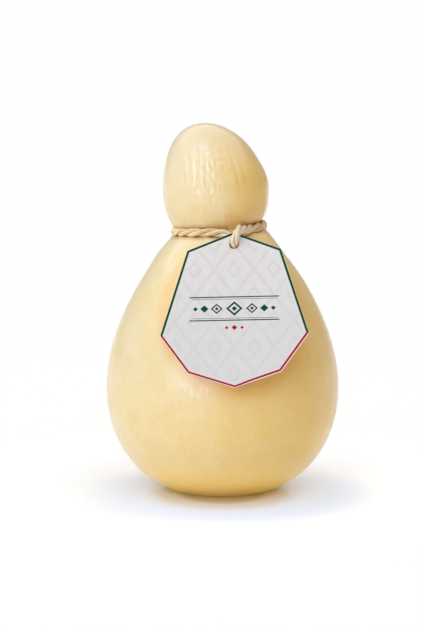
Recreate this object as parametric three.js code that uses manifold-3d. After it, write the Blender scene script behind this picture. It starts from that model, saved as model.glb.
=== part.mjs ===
// A caciocavallo: a stretched-curd cheese in the shape of a pear with a small head,
// a twisted straw-coloured cord tied round its neck, and an eight-sided paper tag
// that is strung on the cord and leans on the shoulder.
// Millimetres, +Z up, the tag in front (-Y). The origin is the middle of the flat
// spot that the cheese stands on.
import * as THREE from 'three';
import { mergeVertices } from 'three/addons/utils/BufferGeometryUtils.js';
import Module from 'manifold-3d';

// ---- driving dimensions: cheese ----
const BELLY_R = 72.7; // widest radius of the pear
const BELLY_Z = 62.4; // height of the widest place
const BOWL_SINK = 6.0; // how much of the round bottom the flat spot takes off
const BOWL_POWER_Z = 2.1; // roundness of the bottom, along the height
const BOWL_POWER_R = 2.37; // roundness of the bottom, along the radius
const SHOULDER_REACH = 127; // height over the belly at which the shoulder would close
const SHOULDER_POWER = 1.9; // how straight the shoulder runs up to the neck
const HEAD_R = 33.1; // widest radius of the head
const HEAD_Z = 185.4; // height of that place
const HEAD_TOP_Z = 227.8; // top of the head
const HEAD_UNDER_REACH = 42.5; // how fast the head draws in towards the neck
const HEAD_UNDER_SKEW = 2.2; // it draws in faster on the right by this
const HEAD_UNDER_POWER = 2.3;
const DOME_POWER = 2.02; // roundness of the top of the head
const DOME_SKEW = 0.09; // the left of the dome is fuller than the right by this
const DOME_SHIFT = 3.0; // the crown stands this far to the left
const LEAN = 0.075; // sideways lean of neck and head, mm for each mm of height
const LEAN_START_Z = 128; // height at which the lean begins
const LEAN_BLEND = 10; // height over which it begins
const NECK_TILT = 0.07; // the neck is this much higher on the right, mm for each mm
const NECK_Z = 162.6; // height of the neck on the axis
const TILT_REACH = 18; // the tilt fades out this far under the neck

// ---- driving dimensions: pleats pressed in where the neck was drawn together ----
const PLEAT_DEPTH = 0.45;
const PLEAT_REACH_UP = 34; // height over which they fade out up the head
const PLEAT_REACH_DOWN = 30; // and down the shoulder
const PLEAT_COUNTS = [9, 13, 17]; // three overlaid sets of folds round the neck
const PLEAT_PHASES = [0.4, 1.9, 3.1];

// ---- driving dimensions: cord ----
const CORD_R = 2.85; // over the strands
const CORD_VALLEY = 0.84; // radius in the valley between two strands, as a share
const CORD_STRANDS = 3;
const CORD_LAY = 29; // length in which a strand goes once round
const CORD_GAP = 0.45; // room left between the cord and what it touches
const RING_R = 27.1; // radius of the cord's middle line round the neck
const TURN_R = 30.6; // the same where the two ends are turned round each other
const TURN_HALF = 3.3; // half the distance between the two ends in that knot
const TURN_ANGLE = 28.5; // half the stretch of the knot, degrees round the neck
const TURN_COUNT = 1.5; // turns of the two ends round each other
const TURN_POINTS = 10;
const PINCH = 0.24; // the cord is thinner by this share inside the tag's hole
const PINCH_LENGTH = 10; // and that fades over this length
const CURVE_PARTS = 2000; // how finely the cord's length is measured
// The two free ends: [degrees from the back, height, how far they stand off].
const FREE_END_LEFT = [
  [36, 155.2, 0],
  [39.5, 151, 0],
  [41.5, 147, 0],
  [42.5, 143, 0],
  [43, 138.8, 0],
];
const FREE_END_RIGHT = [
  [35.5, 156.4, 2],
  [40, 152, 0.8],
  [43, 147.6, 0],
  [45, 143, 0],
  [46, 138.2, 0],
];

// ---- driving dimensions: tag ----
const TAG_THICK = 0.8;
const TAG_WIDTH = 89.4;
const TAG_HEIGHT = 99;
const TAG_SHOULDER_WIDTH = 57; // across the two upper corners
const TAG_SHOULDER_DROP = 11.5; // how far they lie under the apex
const TAG_SIDE_DROP = 65.7; // how far the two widest corners lie under the apex
const TAG_FOOT_WIDTH = 55.8; // across the two lower corners
const TAG_FOOT_DROP = 89.5;
const TAG_HOLE_DROP = 7.75;
const TAG_HOLE_R = 3.2;
const TAG_LEAN = 27.2; // degrees that the tag leans back from upright
const TAG_ROLL = 1.85; // degrees that it hangs turned in its own plane
const TAG_YAW = -4; // degrees that its face is turned towards the left
const TAG_HOLE_AT = new THREE.Vector3(6.8, -39.05, 156.85); // the middle of the hole

// ---- how finely the solids are cut ----
const SEGMENTS = 64; // facets round the cheese
const BOWL_ROWS = 9;
const SHOULDER_ROWS = 11;
const UNDER_ROWS = 7;
const DOME_ROWS = 10;
const CORD_STEPS = 165;
const CORD_SIDES = 9;
const CHANNEL_SIDES = 10;

const RAD = Math.PI / 180;
const UP = new THREE.Vector3(0, 0, 1);
const CHANNEL_R = (CORD_R + CORD_GAP) / Math.cos(Math.PI / CHANNEL_SIDES);

// Smooth step from 0 to 1.
function ease(t) {
  const s = Math.min(Math.max(t, 0), 1);
  return s * s * (3 - 2 * s);
}

// ---- closed meshes that are cut ----

const wasm = await Module();
wasm.setup();

function toSolid(geometry) {
  const bare = geometry.clone();
  bare.deleteAttribute('normal');
  bare.deleteAttribute('uv');
  const merged = mergeVertices(bare, 1e-4);
  const index = merged.index.array;
  const triVerts = [];
  for (let i = 0; i < index.length; i += 3) {
    const [a, b, c] = index.subarray(i, i + 3);
    if (a !== b && b !== c && c !== a) triVerts.push(a, b, c);
  }
  return new wasm.Manifold(new wasm.Mesh({
    numProp: 3,
    vertProperties: new Float32Array(merged.attributes.position.array),
    triVerts: new Uint32Array(triVerts),
  }));
}

function toGeometry(solid) {
  const mesh = solid.getMesh();
  const geometry = new THREE.BufferGeometry();
  geometry.setAttribute('position', new THREE.BufferAttribute(mesh.vertProperties, 3));
  geometry.setIndex(new THREE.BufferAttribute(mesh.triVerts, 1));
  geometry.computeVertexNormals();
  return geometry;
}

// ---- cheese ----

// Sideways place of the axis at a height: straight, then leaning to the left.
function axisX(z) {
  const over = z - LEAN_START_Z;
  if (over <= 0) return 0;
  const bent = Math.min(over, LEAN_BLEND);
  return -LEAN * (bent * bent / (2 * LEAN_BLEND) + (over - bent));
}

// Radius of the pear: a flattened bowl under the belly, a long shoulder over it.
function pearRadius(z) {
  if (z < BELLY_Z) {
    const drop = (BELLY_Z - z) / (BELLY_Z + BOWL_SINK);
    return BELLY_R * (1 - drop ** BOWL_POWER_Z) ** (1 / BOWL_POWER_R);
  }
  const rise = (z - BELLY_Z) / SHOULDER_REACH;
  return BELLY_R * Math.max(0, 1 - rise ** SHOULDER_POWER);
}

// Radius of the head at a height, towards an angle (0 is right, counter-clockwise).
function headRadius(z, angle) {
  if (z < HEAD_Z) {
    const reach = HEAD_UNDER_REACH - HEAD_UNDER_SKEW * Math.cos(angle);
    const drop = (HEAD_Z - z) / reach;
    return HEAD_R * Math.max(0, 1 - drop ** HEAD_UNDER_POWER);
  }
  const rise = Math.min((z - HEAD_Z) / (HEAD_TOP_Z - HEAD_Z), 1);
  const power = DOME_POWER - DOME_SKEW * Math.cos(angle);
  return HEAD_R * (1 - rise ** power) ** (1 / power);
}

function cheeseRadius(z, angle) {
  return Math.max(pearRadius(z), headRadius(z, angle));
}

// Depth of the pleats at a height and an angle.
function pleat(z, angle) {
  const reach = z > NECK_Z ? PLEAT_REACH_UP : PLEAT_REACH_DOWN;
  const fade = ease(1 - Math.abs(z - NECK_Z) / reach);
  let sum = 0;
  PLEAT_COUNTS.forEach((count, i) => {
    sum += Math.cos(count * angle + PLEAT_PHASES[i]);
  });
  return PLEAT_DEPTH * fade * sum / PLEAT_COUNTS.length;
}

// How much of the neck's tilt a height takes: all at the neck, none at the belly.
function tiltShare(z) {
  if (z < NECK_Z) return ease((z - NECK_Z + TILT_REACH) / TILT_REACH);
  return ease((HEAD_TOP_Z - z) / (HEAD_TOP_Z - NECK_Z));
}

// The heights of the rings of corners, from the flat spot to the crown.
function cheeseHeights() {
  const heights = [];
  for (let i = 0; i < BOWL_ROWS; i += 1) {
    heights.push(BELLY_Z * (1 - Math.cos(Math.PI / 2 * i / BOWL_ROWS)));
  }
  for (let i = 0; i < SHOULDER_ROWS; i += 1) {
    heights.push(BELLY_Z + (NECK_Z - BELLY_Z) * i / SHOULDER_ROWS);
  }
  for (let i = 0; i < UNDER_ROWS; i += 1) {
    heights.push(NECK_Z + (HEAD_Z - NECK_Z) * i / UNDER_ROWS);
  }
  for (let i = 0; i < DOME_ROWS; i += 1) {
    const turn = Math.PI / 2 * i / DOME_ROWS;
    heights.push(HEAD_Z + (HEAD_TOP_Z - HEAD_Z) * Math.sin(turn));
  }
  return heights;
}

// Puts a corner of the round profile where the leaning, pleated cheese has it.
function shapeCorner(point) {
  const z = point.z;
  const onAxis = Math.hypot(point.x, point.y) < 1e-6;
  const angle = Math.atan2(point.y, point.x);
  const radius = onAxis ? 0 : cheeseRadius(z, angle) - pleat(z, angle);
  const dome = Math.max(0, (z - HEAD_Z) / (HEAD_TOP_Z - HEAD_Z));
  const side = radius * Math.cos(angle);
  point.x = axisX(z) - DOME_SHIFT * dome * dome + side;
  point.y = radius * Math.sin(angle);
  point.z = z + NECK_TILT * side * tiltShare(z);
}

// The whole cheese, with the channel that the cord has pressed into its neck.
function makeCheese(cordCurve) {
  const profile = [new THREE.Vector2(0, 0)];
  for (const z of cheeseHeights()) {
    profile.push(new THREE.Vector2(cheeseRadius(z, Math.PI / 2), z));
  }
  profile.push(new THREE.Vector2(0, HEAD_TOP_Z));
  const geometry = new THREE.LatheGeometry(profile, SEGMENTS);
  geometry.rotateX(Math.PI / 2);
  const corners = geometry.attributes.position;
  const point = new THREE.Vector3();
  for (let i = 0; i < corners.count; i += 1) {
    point.fromBufferAttribute(corners, i);
    shapeCorner(point);
    corners.setXYZ(i, point.x, point.y, point.z);
  }
  const half = Math.floor(CORD_STEPS / 2);
  const section = () => CHANNEL_R;
  let solid = toSolid(geometry);
  for (const [first, last] of [[0, half], [half, CORD_STEPS]]) {
    solid = solid.subtract(toSolid(sweep(cordCurve, first, last, CHANNEL_SIDES, section)));
  }
  return toGeometry(solid);
}

// ---- cord ----

// A place round the neck: angle in degrees from the front, right positive.
function roundNeck(degrees, radius, rise) {
  const x = radius * Math.sin(degrees * RAD);
  const y = -radius * Math.cos(degrees * RAD);
  return new THREE.Vector3(axisX(NECK_Z) + x, y, NECK_Z + NECK_TILT * x + rise);
}

// The stretch where the two ends are turned round each other behind the neck.
// side is +1 for the end that comes from the right and leaves on the left. Each
// comes in on top, close to the neck, and leaves below, away from it.
function turnedEnd(side) {
  const points = [];
  for (let i = 0; i <= TURN_POINTS; i += 1) {
    const share = i / TURN_POINTS;
    const place = 180 - side * TURN_ANGLE * (1 - 2 * share);
    const phase = -Math.PI / 4 + side * TURN_COUNT * 2 * Math.PI * share;
    const out = TURN_R + TURN_HALF * Math.sin(phase);
    points.push(roundNeck(place, out, TURN_HALF * Math.cos(phase)));
  }
  return points;
}

// A short free end that comes off the knot and lies on the shoulder.
function freeEnd(side, lie) {
  return lie.map(([degrees, height, off]) => {
    const slope = pearRadius(height) - pearRadius(height + 1);
    const lift = (CHANNEL_R + off) / Math.hypot(1, slope);
    const out = pearRadius(height) + lift;
    const x = axisX(height) + side * out * Math.sin(degrees * RAD);
    return new THREE.Vector3(x, out * Math.cos(degrees * RAD), height + lift * slope);
  });
}

// A place on the tag: right, up the card, and out from its face.
function onTag(right, up, out) {
  const lean = TAG_LEAN * RAD;
  const upWay = new THREE.Vector3(0, Math.sin(lean), Math.cos(lean));
  const outWay = new THREE.Vector3(0, -Math.cos(lean), Math.sin(lean));
  const point = new THREE.Vector3(right, 0, 0);
  point.addScaledVector(upWay, up);
  point.addScaledVector(outWay, out);
  point.applyAxisAngle(UP, TAG_YAW * RAD);
  return point.add(TAG_HOLE_AT);
}

// The cord's middle line, from one free end to the other: the knot, the right of
// the neck, over the tag's top edge, through its hole, the left of the neck, the knot.
function cordRoute() {
  const fromKnot = turnedEnd(1).reverse();
  const toKnot = turnedEnd(-1);
  return [
    ...freeEnd(-1, FREE_END_LEFT).reverse(),
    ...fromKnot,
    roundNeck(138, RING_R + 0.3, 0.5),
    roundNeck(120, RING_R, 0),
    roundNeck(100, RING_R, 0.1),
    roundNeck(80, RING_R, 0),
    roundNeck(60, RING_R, 0),
    roundNeck(44, RING_R, 0.2),
    onTag(6.8, 12, -7.6),
    onTag(4.6, 10.5, -2.5),
    onTag(3.1, 8.7, 2.6),
    onTag(1.6, 5, 4.1),
    onTag(0.4, 1.4, 3.4),
    onTag(0, 0, 0),
    onTag(-0.5, 1.3, -3.8),
    onTag(-2.6, 5.2, -5.4),
    onTag(-6.4, 8.8, -5.6),
    roundNeck(-10, RING_R + 0.4, 0.4),
    roundNeck(-28, RING_R, 0.7),
    roundNeck(-46, RING_R, 0.8),
    roundNeck(-68, RING_R, 0.3),
    roundNeck(-88, RING_R, 0),
    roundNeck(-106, RING_R, 0.1),
    roundNeck(-122, RING_R, 1),
    roundNeck(-138, RING_R + 1.1, 2.5),
    ...toKnot,
    ...freeEnd(1, FREE_END_RIGHT),
  ];
}

// Radius of the cord at an angle of its section and a place along it.
function cordSection(angle, middle) {
  const lobe = Math.abs(Math.cos(angle * CORD_STRANDS / 2));
  const toHole = middle.distanceTo(TAG_HOLE_AT) / PINCH_LENGTH;
  const thin = 1 - PINCH * Math.exp(-toHole * toHole);
  return CORD_R * (CORD_VALLEY + (1 - CORD_VALLEY) * lobe) * thin;
}

// One closed body along the curve's rows first to last, turning with the cord's lay.
function sweep(curve, first, last, sides, section) {
  const length = curve.getLength();
  const frames = curve.computeFrenetFrames(CORD_STEPS, false);
  const vertices = [];
  for (let row = first; row <= last; row += 1) {
    const middle = curve.getPointAt(row / CORD_STEPS);
    const lay = -2 * Math.PI * length * row / CORD_STEPS / CORD_LAY;
    for (let side = 0; side < sides; side += 1) {
      const angle = 2 * Math.PI * side / sides;
      const radius = section(angle, middle);
      const point = middle.clone();
      point.addScaledVector(frames.normals[row], radius * Math.cos(angle + lay));
      point.addScaledVector(frames.binormals[row], radius * Math.sin(angle + lay));
      vertices.push(point.x, point.y, point.z);
    }
  }
  const rows = last - first;
  const corner = (row, side) => row * sides + side % sides;
  const faces = [];
  for (let row = 0; row < rows; row += 1) {
    for (let side = 0; side < sides; side += 1) {
      const a = corner(row, side);
      const c = corner(row + 1, side + 1);
      faces.push(a, corner(row, side + 1), c, a, c, corner(row + 1, side));
    }
  }
  for (let side = 1; side < sides - 1; side += 1) {
    faces.push(0, side + 1, side);
    faces.push(corner(rows, 0), corner(rows, side), corner(rows, side + 1));
  }
  const geometry = new THREE.BufferGeometry();
  geometry.setAttribute('position', new THREE.Float32BufferAttribute(vertices, 3));
  geometry.setIndex(faces);
  geometry.computeVertexNormals();
  return geometry;
}

// ---- tag ----

// The card's outline, with the hole's middle at the origin.
function makeTag() {
  const half = [
    [0, 0],
    [TAG_SHOULDER_WIDTH / 2, -TAG_SHOULDER_DROP],
    [TAG_WIDTH / 2, -TAG_SIDE_DROP],
    [TAG_FOOT_WIDTH / 2, -TAG_FOOT_DROP],
    [0, -TAG_HEIGHT],
  ];
  const other = half.slice(1, -1).reverse().map(([x, y]) => [-x, y]);
  const corners = [...half, ...other].reverse();
  const shape = new THREE.Shape(corners.map(([x, y]) => new THREE.Vector2(x, y + TAG_HOLE_DROP)));
  const hole = new THREE.Path();
  hole.absarc(0, 0, TAG_HOLE_R, 0, 2 * Math.PI, true);
  shape.holes.push(hole);
  const geometry = new THREE.ExtrudeGeometry(shape, {
    depth: TAG_THICK,
    bevelEnabled: false,
    curveSegments: 20,
  });
  geometry.translate(0, 0, -TAG_THICK / 2);
  return geometry;
}

// ---- finishes and assembly ----

function finish(colour, roughness) {
  return new THREE.MeshStandardMaterial({ color: colour, roughness, metalness: 0 });
}

function namedMesh(name, geometry, material) {
  const mesh = new THREE.Mesh(geometry, material);
  mesh.name = name;
  return mesh;
}

const cordCurve = new THREE.CatmullRomCurve3(cordRoute(), false, 'centripetal');
cordCurve.arcLengthDivisions = CURVE_PARTS;

const cheese = namedMesh('cheese', makeCheese(cordCurve), finish('#edd5a0', 0.45));
const cordBody = sweep(cordCurve, 0, CORD_STEPS, CORD_SIDES, cordSection);
const cord = namedMesh('cord', cordBody, finish('#dcc8a2', 0.85));
const tag = namedMesh('tag', makeTag(), finish('#dedbe0', 0.7));

const tagTilt = new THREE.Group();
tagTilt.rotation.set((90 - TAG_LEAN) * RAD, 0, TAG_ROLL * RAD);
tagTilt.add(tag);

const tagHanger = new THREE.Group();
tagHanger.position.copy(TAG_HOLE_AT);
tagHanger.rotation.z = TAG_YAW * RAD;
tagHanger.add(tagTilt);

const caciocavallo = new THREE.Group();
caciocavallo.add(cheese);
caciocavallo.add(cord);
caciocavallo.add(tagHanger);

export default caciocavallo;
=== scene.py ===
"""A corded stretched-curd cheese with its paper tag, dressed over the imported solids.

Metres, +Z up, the tag in front (-Y), the flat spot that the cheese stands on at z 0.
"""

import math

import bmesh
import bpy
import numpy as np
from bpy.props import FloatProperty, FloatVectorProperty, IntProperty, PointerProperty
from mathutils import Matrix, Vector


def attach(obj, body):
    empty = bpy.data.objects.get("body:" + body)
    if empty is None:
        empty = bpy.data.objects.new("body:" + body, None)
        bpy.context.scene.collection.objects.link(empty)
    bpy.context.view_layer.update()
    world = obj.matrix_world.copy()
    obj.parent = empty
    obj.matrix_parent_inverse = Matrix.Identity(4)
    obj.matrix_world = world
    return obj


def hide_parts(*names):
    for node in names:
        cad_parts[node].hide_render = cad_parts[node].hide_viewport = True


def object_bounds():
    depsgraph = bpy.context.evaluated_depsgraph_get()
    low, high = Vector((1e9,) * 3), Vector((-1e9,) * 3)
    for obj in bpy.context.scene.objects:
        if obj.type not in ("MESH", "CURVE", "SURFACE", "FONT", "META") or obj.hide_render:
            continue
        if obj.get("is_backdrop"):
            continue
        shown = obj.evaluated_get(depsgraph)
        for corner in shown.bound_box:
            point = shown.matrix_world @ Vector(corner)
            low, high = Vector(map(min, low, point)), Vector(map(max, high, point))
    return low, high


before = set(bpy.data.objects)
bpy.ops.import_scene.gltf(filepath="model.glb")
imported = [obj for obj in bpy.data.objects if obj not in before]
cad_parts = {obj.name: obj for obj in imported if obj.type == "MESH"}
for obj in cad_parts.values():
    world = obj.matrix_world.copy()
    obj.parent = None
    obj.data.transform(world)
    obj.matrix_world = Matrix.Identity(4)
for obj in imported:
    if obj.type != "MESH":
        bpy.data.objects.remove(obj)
CAD_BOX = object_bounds()

bl_info = {
    "name": "Corded cheese",
    "version": (1, 0, 0),
    "blender": (4, 5, 0),
    "location": "3D View > Sidebar > Cheese",
    "description": "Moulds a pear-shaped cheese, ties its cord, hangs its tag and lights it",
    "category": "Add Mesh",
}

MM = 0.001
BODY = "root"


# ---------------------------------------------------------------- settings


def shade(red, green, blue):
    """A screen colour from 0 to 255 as the linear colour that shaders take."""
    def linear(value):
        share = value / 255
        return share / 12.92 if share <= 0.04045 else ((share + 0.055) / 1.055) ** 2.4
    return (linear(red), linear(green), linear(blue))


def length(name, millimetres, description):
    """A size that the sidebar shows in the scene's length unit."""
    return FloatProperty(
        name=name, description=description, default=millimetres * MM,
        subtype="DISTANCE", unit="LENGTH", precision=5,
    )


def share(name, value, description):
    """A plain number, such as a ratio or a power."""
    return FloatProperty(name=name, description=description, default=value, precision=3)


def tint(name, red, green, blue, description):
    """A colour, given as it shows on a screen."""
    return FloatVectorProperty(
        name=name, description=description, default=shade(red, green, blue),
        subtype="COLOR", size=3, min=0, max=1,
    )


class CheeseForm(bpy.types.PropertyGroup):
    """Sizes of the cheese."""
    belly_radius: length("Belly radius", 72.7, "Widest radius of the pear")
    belly_height: length("Belly height", 62.4, "Height of the widest place")
    bowl_sink: length("Bowl sink", 6.0, "What the flat spot takes off the round bottom")
    shoulder_reach: length("Shoulder reach", 127, "Height at which the shoulder would close")
    head_radius: length("Head radius", 33.1, "Widest radius of the head")
    head_height: length("Head height", 185.4, "Height of the head's widest place")
    head_top: length("Head top", 227.8, "Height of the crown")
    head_reach: length("Head reach", 42.5, "How fast the head draws in towards the neck")
    neck_height: length("Neck height", 162.6, "Height of the neck on the axis")
    lean: share("Lean", 0.075, "Sideways lean of neck and head for each unit of height")
    tilt: share("Neck tilt", 0.07, "Rise of the neck towards the right")
    pleat_depth: length("Pleat depth", 0.45, "Depth of the broad pleats at the neck")
    gather_depth: length("Gather depth", 0.17, "Depth of the fine gathers at the cord")
    wave_depth: length("Wave depth", 0.5, "Height of the slow waves that hands leave")
    press_radius: length("Press radius", 2.95, "Radius of the groove the cord has pressed in")


class CheeseSkin(bpy.types.PropertyGroup):
    """Colours of the cheese."""
    pale: tint("Pale", 234, 205, 147, "The paler patches of the skin")
    deep: tint("Deep", 226, 181, 86, "The deeper patches of the skin")
    # Painted shade on the skin next to the cord.
    pressed_shade: tint("Pressed", 200, 134, 54, "Skin pressed under the cord")
    # Painted light on the lowest skin, standing in for light from the table and through the
    # cheese.
    foot: tint("Foot", 248, 196, 92, "Skin low down, where light gathers inside")
    # Painted shadow of the tag on the skin below and behind it.
    tag_shadow: tint("Covered", 232, 170, 72, "Skin behind the tag, which dries less")
    # Darker skin towards the crown.
    crown: tint("Crown", 214, 180, 126, "Skin on the crown, which dries most")
    roughness: share("Roughness", 0.36, "How dull the skin is")
    translucency: share("Translucency", 0.4, "Share of light that passes through the skin")


class CordForm(bpy.types.PropertyGroup):
    """Sizes and colours of the cord."""
    radius: length("Cord radius", 2.85, "Radius over the strands")
    lay: length("Lay", 29, "Length in which a strand goes once round")
    ring_radius: length("Ring radius", 27.1, "Radius of the cord's middle line round the neck")
    turn_radius: length("Turn radius", 30.6, "The same where the ends are turned together")
    turn_half: length("Turn half", 3.3, "Half the distance between the ends there")
    strands: IntProperty(name="Strands", description="Strands in the cord", default=3, min=2)
    hairs: IntProperty(name="Hairs", description="Loose hairs for each cm2", default=26, min=0)
    seed: IntProperty(name="Seed", description="Seed of the loose hairs", default=7, min=0)
    ivory: tint("Ivory", 250, 232, 197, "The paler fibres")
    straw: tint("Straw", 238, 203, 142, "The deeper fibres")
    # Painted shade in the seams; also the tone of the darker fibre streaks.
    seam: tint("Seam", 164, 108, 40, "The shaded seams between the strands")
    # Painted shade on the cord's right side.
    right_shade: tint("Aged", 200, 160, 104, "The duller fibres on the right")


class TagForm(bpy.types.PropertyGroup):
    """Sizes and colours of the tag."""
    width: length("Width", 89.4, "Width across the two side corners")
    height: length("Height", 99, "Height from the apex to the lowest corner")
    thickness: length("Thickness", 0.8, "Thickness of the card")
    hole_radius: length("Hole radius", 3.2, "Radius of the hole for the cord")
    border: length("Border", 1.5, "Width of the border line")
    margin: length("Margin", 0.06, "Plain card outside the border line")
    card: tint("Card", 230, 230, 230, "The card")
    green: tint("Green", 0, 72, 42, "Upper border and the ornament")
    red: tint("Red", 178, 8, 40, "Lower border")
    faint: tint("Faint", 218, 209, 211, "The faint pattern over the field")


class StageSet(bpy.types.PropertyGroup):
    """Camera, lights and floor."""
    floor: tint("Floor", 252, 252, 252, "The floor")
    glow: share("Floor glow", 0.195, "Light that the floor gives off by itself")
    world: share("Surroundings", 0.5, "Strength of the white surroundings that gloss mirrors")
    top: share("Top light", 2.6, "Strength of the wide lamp overhead")
    key: share("Key light", 1.93, "Strength of the lamp at the front left")
    side: share("Side light", 1.1, "Strength of the lamp on the left")
    upper: share("Upper light", 1.05, "Strength of the lamp high at the front")
    glint: share("Glint light", 0.8, "Strength of the small lamp that lifts the creases")
    bounce: share("Bounce light", 0.84, "Strength of the light thrown back by the table")
    trim: share("Trim light", 1.12, "Strength of the lamp on the tag")
    cord: share("Cord light", 1.42, "Strength of the lamp on the cord")
    lens: share("Lens", 136.93, "Focal length in millimetres")


# ---------------------------------------------------------------- node trees


class Term:
    """A value in a node tree that takes part in sums like a number."""

    def __init__(self, net, socket):
        self.net = net
        self.socket = socket

    def __add__(self, other):
        return self.net.math("ADD", self, other)

    __radd__ = __add__

    def __sub__(self, other):
        return self.net.math("SUBTRACT", self, other)

    def __rsub__(self, other):
        return self.net.math("SUBTRACT", other, self)

    def __mul__(self, other):
        return self.net.math("MULTIPLY", self, other)

    __rmul__ = __mul__

    def __truediv__(self, other):
        return self.net.math("DIVIDE", self, other)

    def __rtruediv__(self, other):
        return self.net.math("DIVIDE", other, self)

    def __pow__(self, other):
        return self.net.math("POWER", self, other)


class Net:
    """Builds a node tree, node by node."""

    def __init__(self, tree):
        self.tree = tree

    def feed(self, socket, value):
        if isinstance(value, Term):
            self.tree.links.new(value.socket, socket)
        elif value is not None:
            socket.default_value = value

    def put(self, kind, values=None, out=0, **settings):
        """Adds a node and gives one of its outputs, or the node if it has none."""
        node = self.tree.nodes.new(kind)
        for key, value in settings.items():
            setattr(node, key, value)
        for key, value in (values or {}).items():
            self.feed(node.inputs[key], value)
        return Term(self, node.outputs[out]) if len(node.outputs) else node

    def other(self, term, out):
        """Another output of the node that a value comes from."""
        return Term(self, term.socket.node.outputs[out])

    def math(self, operation, *values):
        node = self.tree.nodes.new("ShaderNodeMath")
        node.operation = operation
        for socket, value in zip(node.inputs, values):
            self.feed(socket, value)
        return Term(self, node.outputs[0])

    def vector(self, operation, *values, out=0):
        node = self.tree.nodes.new("ShaderNodeVectorMath")
        node.operation = operation
        for socket, value in zip(node.inputs, values):
            self.feed(socket, value)
        return Term(self, node.outputs[out])

    def scaled(self, vector, factor):
        return self.put("ShaderNodeVectorMath", {0: vector, 3: factor}, operation="SCALE")

    def split(self, vector):
        first = self.put("ShaderNodeSeparateXYZ", {0: vector})
        return first, self.other(first, 1), self.other(first, 2)

    def join(self, x=0.0, y=0.0, z=0.0):
        return self.put("ShaderNodeCombineXYZ", {0: x, 1: y, 2: z})

    def least(self, first, second):
        return self.math("MINIMUM", first, second)

    def most(self, first, second):
        return self.math("MAXIMUM", first, second)

    def held(self, value):
        return self.least(self.most(value, 0.0), 1.0)

    def size(self, value):
        return self.math("ABSOLUTE", value)

    def root(self, value):
        return self.math("SQRT", value)

    def reach(self, x, y):
        """Length of the vector with these two parts."""
        return self.root(x * x + y * y)

    def below(self, value, limit):
        """1 where the value is below the limit, else 0."""
        return self.math("LESS_THAN", value, limit)

    def ease(self, value, low=0.0, high=1.0):
        """0 below low, 1 above high and a smooth step between them."""
        return self.put(
            "ShaderNodeMapRange", {0: value, 1: low, 2: high},
            interpolation_type="SMOOTHSTEP",
        )

    def bell(self, value, width):
        """1 where the value is 0, falling off smoothly over the width."""
        ratio = value / width
        return self.math("EXPONENT", ratio * ratio * -1.0)

    def noise(self, vector, scale, detail=2.0, roughness=0.5, distortion=0.0):
        return self.put("ShaderNodeTexNoise", {
            "Vector": vector, "Scale": scale, "Detail": detail,
            "Roughness": roughness, "Distortion": distortion,
        })

    def blend(self, factor, first, second):
        """A colour between two colours."""
        node = self.tree.nodes.new("ShaderNodeMix")
        node.data_type = "RGBA"
        self.feed(node.inputs[0], factor)
        for index, colour in ((6, first), (7, second)):
            opaque = colour if isinstance(colour, Term) else (*colour, 1.0)
            self.feed(node.inputs[index], opaque)
        return Term(self, node.outputs[2])


SOCKETS = {
    float: "Float", int: "Int", Vector: "Vector",
    bpy.types.Material: "Material", bpy.types.Object: "Object",
}


class ShapeNet(Net):
    """A geometry tree with named inputs, ending in Realize Instances and Set Material."""

    def __init__(self, name, inputs):
        super().__init__(bpy.data.node_groups.new(name, "GeometryNodeTree"))
        face = self.tree.interface
        face.new_socket("Geometry", in_out="OUTPUT", socket_type="NodeSocketGeometry")
        face.new_socket("Geometry", in_out="INPUT", socket_type="NodeSocketGeometry")
        self.values = dict(inputs)
        for key, value in inputs.items():
            kind = next(SOCKETS[sort] for sort in SOCKETS if isinstance(value, sort))
            face.new_socket(key, in_out="INPUT", socket_type="NodeSocket" + kind)
        self.source = self.tree.nodes.new("NodeGroupInput")
        self.start = Term(self, self.source.outputs[0])

    def given(self, key):
        return Term(self, self.source.outputs[key])

    def store(self, geometry, name, value, kind="FLOAT"):
        """Keeps a value on the points, for later nodes and for materials."""
        return self.put(
            "GeometryNodeStoreNamedAttribute", {0: geometry, 2: name, 3: value},
            data_type=kind, domain="POINT",
        )

    def stored(self, name, kind="FLOAT"):
        return self.put("GeometryNodeInputNamedAttribute", {0: name}, data_type=kind)

    def move(self, geometry, by=None, to=None):
        """Moves the points by an offset or to a place."""
        return self.put("GeometryNodeSetPosition", {0: geometry, 2: to, 3: by})

    def circle(self, corners, radius):
        values = {0: corners, 4: radius}
        return self.put("GeometryNodeCurvePrimitiveCircle", values, mode="RADIUS")

    def close(self, geometry, material="Finish"):
        real = self.put("GeometryNodeRealizeInstances", {0: geometry})
        done = self.put("GeometryNodeSetMaterial", {0: real, 2: self.given(material)})
        end = self.tree.nodes.new("NodeGroupOutput")
        self.tree.links.new(done.socket, end.inputs[0])

    def make(self, source, name):
        """Runs the tree on an object and gives the result as a plain mesh object."""
        modifier = source.modifiers.new(name, "NODES")
        modifier.node_group = self.tree
        for item in self.tree.interface.items_tree:
            if item.in_out == "INPUT" and item.name in self.values:
                value = self.values[item.name]
                modifier[item.identifier] = tuple(value) if isinstance(value, Vector) else value
        bpy.context.view_layer.update()
        graph = bpy.context.evaluated_depsgraph_get()
        mesh = bpy.data.meshes.new_from_object(source.evaluated_get(graph))
        mesh.name = name
        source.modifiers.remove(modifier)
        piece = bpy.data.objects.new(name, mesh)
        bpy.context.scene.collection.objects.link(piece)
        return piece


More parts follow.
